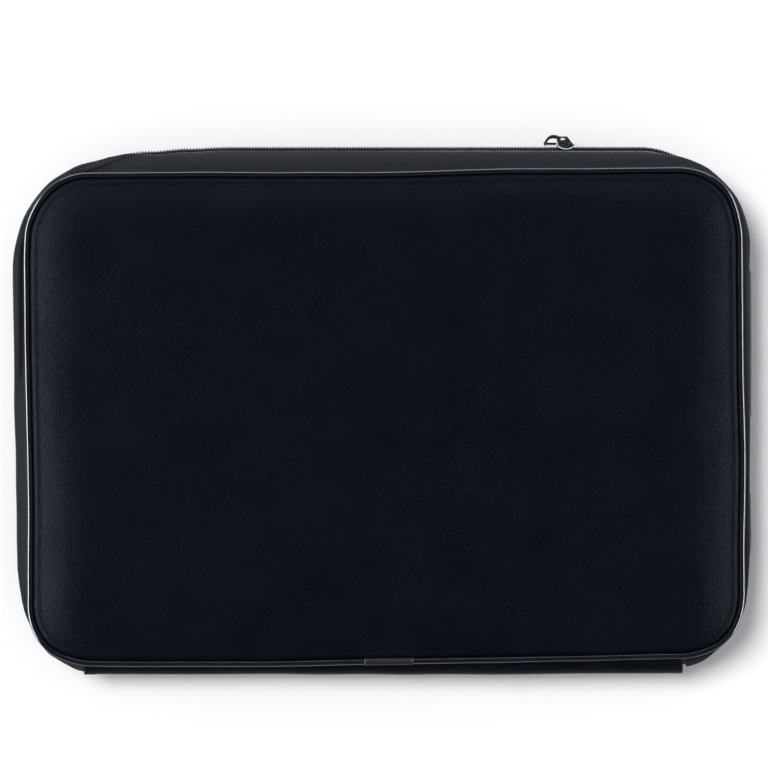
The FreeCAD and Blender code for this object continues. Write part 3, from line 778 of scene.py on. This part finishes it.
def coil(side):
    """One row of the coil: a flattened helix, its heads towards the other row."""
    per_turn = 12
    turns = int((ZIP_END - ZIP_START) / COIL_PITCH)
    phase = np.arange(turns * per_turn) / per_turn
    t = ZIP_START + phase * COIL_PITCH + (COIL_PITCH / 2 if side.out < 0 else 0)
    angle = 2 * math.pi * phase
    row_inset = 0.0 if side is FRONT else 0.5
    out = coil_out(side, t) - row_inset - (COIL_HALF - STRAND_R) * np.sin(angle)
    _, _, z = side.rim(t)
    low = lip(t) + STRAND_R
    high = np.maximum(lip(t), LIP_SMALL) + COIL_WIDTH - STRAND_R
    height = (low + high) / 2 - (high - low) / 2 * np.cos(angle) - np.abs(z - CHAIN_Z)
    centre = side.place(t, out, height)
    forward = np.gradient(centre, axis=0)
    forward /= np.linalg.norm(forward, axis=1, keepdims=True)
    _, normal, _ = side.rim(t)
    along = np.stack([-normal[:, 1], normal[:, 0], np.zeros(len(t))], -1)
    across = np.cross(forward, along)
    across /= np.linalg.norm(across, axis=1, keepdims=True)
    obj = tube(f"{side.name}_coil_strand", centre, across, np.cross(forward, across), STRAND_R, 6)
    finish_piece(obj, None, "zip_coil", COIL_PAINT, f"{side.name}_zip_coil")

    t = np.linspace(ZIP_START, ZIP_END, 500)
    _, outward, upward = rim_axes(side, t)
    _, _, z = side.rim(t)
    middle = np.maximum(lip(t), LIP_SMALL) + COIL_WIDTH / 2 - np.abs(z - CHAIN_Z)
    centre = side.place(t, coil_out(side, t), middle)
    filler = tube(f"{side.name}_coil_filler", centre, outward, upward, 0.5, 8)
    finish_piece(filler, None, "core_cord", THREAD_PAINT, f"{side.name}_zip_cord")
    return [obj, filler]


# --- bottom gusset ----------------------------------------------------------------------------------------
def gusset_profile(t, depth, start_deg, end_deg, count=22):
    """(out, z) arcs across the gusset, between the two seams, set in from its outer face."""
    point, normal, _ = BACK.rim(t)
    tilt = 0.85 - point[:, 0] / 300
    reach = (point[:, 1] - GUSSET_LOW[1]) / -normal[:, 1] - EXIT_OUT + tilt
    half = (FRONT_Z - BACK_Z) / 2 + EXIT_LEVEL + GUSSET_CLOTH / 2
    angle = np.radians(np.linspace(start_deg, end_deg, count))[None]
    out = EXIT_OUT + (reach[:, None] - depth) * np.cos(angle)
    z = CHAIN_Z + (half - depth) * np.sin(angle) + 0 * out
    return np.stack([out, z], -1)


def gusset_line():
    left = -RUN_X - CORNER_R * math.radians(LEFT_SEAM_DEG - 0.5)
    right = RUN_X + CORNER_R * math.radians(RIGHT_SEAM_DEG - 0.5)
    return np.linspace(left, right, 360), left, right


def hem(t, left, right):
    """1 inside the doubled cloth at the gusset's ends, 0 between them."""
    return 1 - ease((np.minimum(t - left, right - t) - GUSSET_HEM) / 0.8)


def gusset_strip(name, depth, thickness, swell=0.0, seams=True):
    t, left, right = gusset_line()
    arc = gusset_profile(t, depth, -90, 90)
    lines = arc
    if seams:
        low, high = (
            [np.stack([np.full(len(t), reach), np.full(len(t), level)], -1) for reach in (-7.5, -4.5, -1.8)]
            for level in (BACK_Z - SEAM_LEVEL, FRONT_Z + SEAM_LEVEL)
        )
        lines = np.concatenate([np.stack(low, 1), arc, np.stack(high[::-1], 1)], 1)
    fold = hem(t, left, right)
    puff = 0.12 * np.sin(t / 9.5 + 1.5 * np.sin(t / 33)) + 0.35 * np.sin(t / 61 + 0.7)
    centre = np.array([EXIT_OUT, CHAIN_Z])
    away = lines - centre
    share = np.clip(away[..., 0] / 7.0, 0, 1)[..., None]
    away = away / np.linalg.norm(away, axis=-1, keepdims=True)
    lines = lines + away * share * (puff + swell * fold)[:, None, None]
    closed = thick(lines, thickness)
    flat_height = BACK_Z - closed[..., 1]
    points = BACK.place(t[:, None] + 0 * flat_height, closed[..., 0], flat_height)
    steps = np.linalg.norm(np.diff(lines, axis=1), axis=-1)
    across = np.concatenate([np.zeros((len(t), 1)), np.cumsum(steps, 1)], 1)
    across = np.concatenate([across, across[:, ::-1], across[:, :1]], 1)
    uv = np.stack([np.broadcast_to(t[:, None], across.shape), across], -1)
    obj = face_outwards(lattice(name, points, uv, close_columns=True, cap=True))
    return obj, steps.sum(1).mean(), right - left


# --- small parts ------------------------------------------------------------------------------------------
def softened(node, name, body, slot, material, width, segments=3, swell=0.0):
    """A detailed copy of a small CAD part, its edges rounded over. swell thickens it, in millimetres."""
    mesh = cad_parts[node].data.copy()
    mesh.name = name
    obj = new_object(name, mesh)
    work = bmesh.new()
    work.from_mesh(mesh)
    bmesh.ops.remove_doubles(work, verts=work.verts, dist=1e-6)
    bmesh.ops.dissolve_limit(work, angle_limit=math.radians(2), verts=work.verts, edges=work.edges)
    work.normal_update()
    for vertex in work.verts:
        vertex.co += vertex.normal * swell * MM
    work.to_mesh(mesh)
    work.free()
    bevel = obj.modifiers.new("bevel", "BEVEL")
    bevel.width = width * MM
    bevel.segments = segments
    bevel.limit_method = "ANGLE"
    bevel.angle_limit = math.radians(38)
    bevel.use_clamp_overlap = True
    normals = obj.modifiers.new("normals", "WEIGHTED_NORMAL")
    normals.keep_sharp = False
    mesh.polygons.foreach_set("use_smooth", [True] * len(mesh.polygons))
    return finish_piece(obj, body, slot, material, node)


def flange_beads():
    """Rolled edges of the flanges at both sides of the slider, coloured with the painted highlight."""
    count = 25
    radius = 0.3
    share = np.linspace(-1, 1, count)
    along = share * (SLIDER_HIGH[0] - SLIDER_X - radius)
    out = COIL_TOP - 0.35 + 1.45 * share**2
    binormal = np.tile([0.0, 0.0, 1.0], (count, 1))
    for number, z in enumerate((SLIDER_LOW[2] + 0.2, SLIDER_HIGH[2] - 0.2)):
        centre = np.stack([SLIDER_X + along, out, np.full(count, z)], -1)
        forward = np.gradient(centre, axis=0)
        forward /= np.linalg.norm(forward, axis=1, keepdims=True)
        bead = tube(f"slider_flange_{number}", centre, np.cross(binormal, forward), binormal, radius, 10)
        # Each bead carries the painted highlight's bright colour.
        finish_piece(bead, "slider", "slider_metal", PAINTED_HIGHLIGHT_PAINT)


# --- assembly ---------------------------------------------------------------------------------------------
for half in (BACK, FRONT):
    panel(half)
    piping(half)
    binding(half)
    stitch_row(f"{half.name}_binding_stitches", half, -4.6, -2.3)

for half in (BACK, FRONT):
    for piece in [zip_tape_piece(half), *coil(half)]:
        if half is FRONT:
            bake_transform(piece)
        else:
            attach(piece, "back_half")

# Each layer of the gusset: its piece, node, slot and paint, how deep its middle lies, its thickness,
# how far its hems swell, and whether it runs on into the seams.
for piece_name, node, slot, paint, depth, thickness, swell, seams in (
    ("gusset_cloth", "bottom_gusset_outer", "outer_cloth", CLOTH_PAINT, CLOTH_DEPTH, GUSSET_CLOTH, 0.15, True),
    ("gusset_foam_strip", "bottom_gusset_foam", "foam", FOAM_PAINT, 2.3, 2.6, 0.0, False),
    ("gusset_lining_cloth", "bottom_gusset_lining", "lining_cloth", LINING_PAINT, 4.0, 0.45, 0.0, False),
):
    piece, cut_width, cut_length = gusset_strip(piece_name, depth, thickness, swell, seams)
    finish_piece(piece, None, slot, paint, node)
    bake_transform(piece)

softened("slider_body", "slider_plates", "slider", "slider_metal", GUNMETAL_PAINT, 0.22)
flange_beads()
softened("slider_crown", "slider_bail", "slider", "slider_metal", GUNMETAL_PAINT, 0.25)
softened("slider_lock_spring", "slider_spring", "slider", "spring_steel", SPRING_PAINT, 0.05)
softened("pull_link", "puller_wire", "puller_link", "puller_metal", BLACK_METAL_PAINT, 0.05, swell=0.12)
softened("pull_tab", "puller_blade", "puller_tab", "puller_metal", BLACK_METAL_PAINT, 0.2)


# --- studio -----------------------------------------------------------------------------------------------
SKY = 1.55
REFLECTED_SKY = 0.6
CAMERA_X, CAMERA_Y = -0.4, 17.1
CAMERA_DISTANCE = 1300.0
FRAME_WIDTH = 417.0
SENSOR_WIDTH = 36.0
FLOOR_REACH = 4.0
FLOOR_Z = -0.0004


def studio():
    """White floor, a soft key light from the top left, and the camera looking straight down."""
    mesh = bpy.data.meshes.new("floor")
    corners = [(-1, -1), (1, -1), (1, 1), (-1, 1)]
    points = [(x * FLOOR_REACH, y * FLOOR_REACH, FLOOR_Z) for x, y in corners]
    mesh.from_pydata(points, [], [(0, 1, 2, 3)])
    floor = new_object("floor", mesh)
    paint = Paint("floor", (0.92, 0.92, 0.92), 0.85)
    paint.color(paint.noise(3, 1), grey(0.91), grey(0.93))
    mesh.materials.append(paint.material)

    # The sky is bright at the sides and dim overhead, like a table between soft boxes.
    world = bpy.data.worlds.new("studio")
    world.use_nodes = True
    nodes, links = world.node_tree.nodes, world.node_tree.links
    split = nodes.new("ShaderNodeSeparateXYZ")
    ramp = nodes.new("ShaderNodeValToRGB")
    links.new(nodes.new("ShaderNodeTexCoord").outputs["Generated"], split.inputs[0])
    links.new(split.outputs["Z"], ramp.inputs[0])
    links.new(ramp.outputs["Color"], nodes["Background"].inputs["Color"])
    stops = ramp.color_ramp.elements
    stops[0].position, stops[0].color = 0.0, (0.08, 0.08, 0.08, 1)
    stops[1].position, stops[1].color = 0.9, (0.14, 0.145, 0.155, 1)
    stops.new(0.3).color = (0.38, 0.38, 0.38, 1)
    stops.new(0.6).color = (0.42, 0.42, 0.43, 1)
    # Reflections see a dimmer sky, so that the piping shows the strips and not the sky.
    glossy = nodes.new("ShaderNodeLightPath").outputs["Is Glossy Ray"]
    strength = nodes.new("ShaderNodeMath")
    strength.operation = "MULTIPLY_ADD"
    strength.inputs[1].default_value = REFLECTED_SKY - SKY
    strength.inputs[2].default_value = SKY
    links.new(glossy, strength.inputs[0])
    links.new(strength.outputs[0], nodes["Background"].inputs["Strength"])
    scene.world = world

    def lamp(name, kind, where, power):
        """A light aimed at the origin. The sun lights surfaces, and the strips only show in reflections."""
        light = bpy.data.lights.new(name, kind)
        light.energy = power
        holder = bpy.data.objects.new(name, light)
        scene.collection.objects.link(holder)
        holder.location = where
        holder.rotation_euler = (-Vector(where)).to_track_quat("-Z", "Y").to_euler()
        holder.visible_glossy = kind != "SUN"
        holder.visible_diffuse = kind == "SUN"
        return light

    lamp("key", "SUN", (-0.8, 0.5, 1.4), 2.6).angle = math.radians(30)
    # The strips stand low beside the sleeve, so that they show on the piping's outer side.
    for name, where, size, power in (
        ("left_strip", (-0.60, 0.0, 0.18), (0.8, 0.16), 14.0),
        ("right_strip", (0.60, 0.0, 0.16), (0.8, 0.10), 9.0),
        ("top_strip", (0.0, 0.60, 0.22), (1.0, 0.16), 4.0),
    ):
        strip = lamp(name, "AREA", where, power)
        strip.color = (0.84, 0.92, 1.0)
        strip.shape = "RECTANGLE"
        strip.size, strip.size_y = size

    camera = bpy.data.cameras.new("camera")
    view = bpy.data.objects.new("camera", camera)
    scene.collection.objects.link(view)
    camera.sensor_width = SENSOR_WIDTH
    camera.lens = SENSOR_WIDTH * CAMERA_DISTANCE / FRAME_WIDTH
    camera.clip_start = 0.01
    view.location = (CAMERA_X * MM, CAMERA_Y * MM, (CHAIN_Z + CAMERA_DISTANCE) * MM)
    view.rotation_euler = (0, 0, 0)
    scene.camera = view
    scene.view_settings.view_transform = "Standard"


scene = bpy.context.scene
studio()
